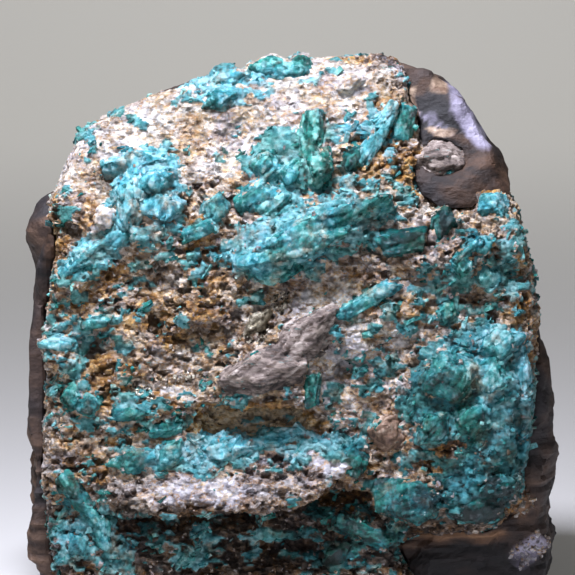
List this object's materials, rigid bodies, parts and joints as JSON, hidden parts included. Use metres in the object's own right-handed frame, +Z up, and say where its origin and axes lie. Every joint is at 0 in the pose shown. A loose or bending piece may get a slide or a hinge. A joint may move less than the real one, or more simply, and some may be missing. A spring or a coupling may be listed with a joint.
{
  "type": "emerald specimen on matrix",
  "caption": "Free-standing block of grey shale with a rough white vein crust on its front, set with pale to deep green emerald crystals.",
  "frame": {"origin": "middle of the flat sawn base that the specimen stands on", "axes": "+Z up, +X to the right as seen from the front; the emerald-bearing face looks along -Y"},
  "size_m": [0.1074, 0.0658, 0.1123],
  "materials": {
    "shale": "dark grey-brown shale, dull, freshly broken and stained brown along its joints",
    "calcite_vein": "granular cream to lilac-white calcite and albite, iron-stained orange and brown, with glassy cleavage glints",
    "emerald_pale": "pale blue-green beryl, cloudy and fractured, with a glassy lustre",
    "emerald_green": "teal-green beryl, cloudy and fractured, with a glassy lustre",
    "emerald_dark": "deep green translucent beryl with a glassy lustre",
    "shale_grey": "light lilac-grey altered shale, finely layered, matt",
    "calcite_pink": "brown-pink carbonate, dull",
    "calcite_white": "lilac-white calcite cleavage, waxy",
    "pyrite": "small tarnished pyrite crystals, bright metallic"
  },
  "bodies": {
    "root": {"wall_rock": "shale", "vein_crust": "calcite_vein", "emerald_crest": "emerald_green", "emerald_crest_pale": "emerald_pale", "emerald_below_crest": "emerald_green", "emerald_branching_mass": "emerald_pale", "emerald_slanting_streak": "emerald_pale", "emerald_side_splinter": "emerald_green", "emerald_side_block": "emerald_pale", "emerald_upper_prism": "emerald_green", "emerald_upper_column": "emerald_green", "emerald_blade": "emerald_pale", "emerald_upper_block": "emerald_green", "emerald_dark_knot": "emerald_dark", "emerald_banded_mass": "emerald_green", "emerald_gem_green": "emerald_dark", "emerald_gem_upright": "emerald_dark", "emerald_right_block": "emerald_green", "emerald_right_pale": "emerald_pale", "emerald_edge_upper": "emerald_pale", "emerald_long_prism": "emerald_green", "emerald_middle_block": "emerald_green", "emerald_right_mass": "emerald_green", "emerald_edge_ridge": "emerald_pale", "emerald_lower_lobe": "emerald_green", "emerald_lower_dark": "emerald_dark", "emerald_ledge_band": "emerald_pale", "emerald_ledge_left": "emerald_green", "emerald_ledge_right": "emerald_green", "emerald_left_bar": "emerald_green", "emerald_left_bar_upper": "emerald_green", "emerald_left_pair": "emerald_green", "emerald_left_edge": "emerald_pale", "emerald_left_slip": "emerald_green", "emerald_hollow_prism": "emerald_green", "emerald_lower_left_prism": "emerald_green", "emerald_lower_left_chip": "emerald_pale", "emerald_lower_slant": "emerald_green", "emerald_lower_dark_pair": "emerald_dark", "shale_ramp": "shale_grey", "shale_clast": "shale_grey", "pink_calcite_block": "calcite_pink", "calcite_rhomb": "calcite_white", "calcite_rhomb_top": "calcite_white", "pyrite_cluster": "pyrite"}
  },
  "joints": []
}
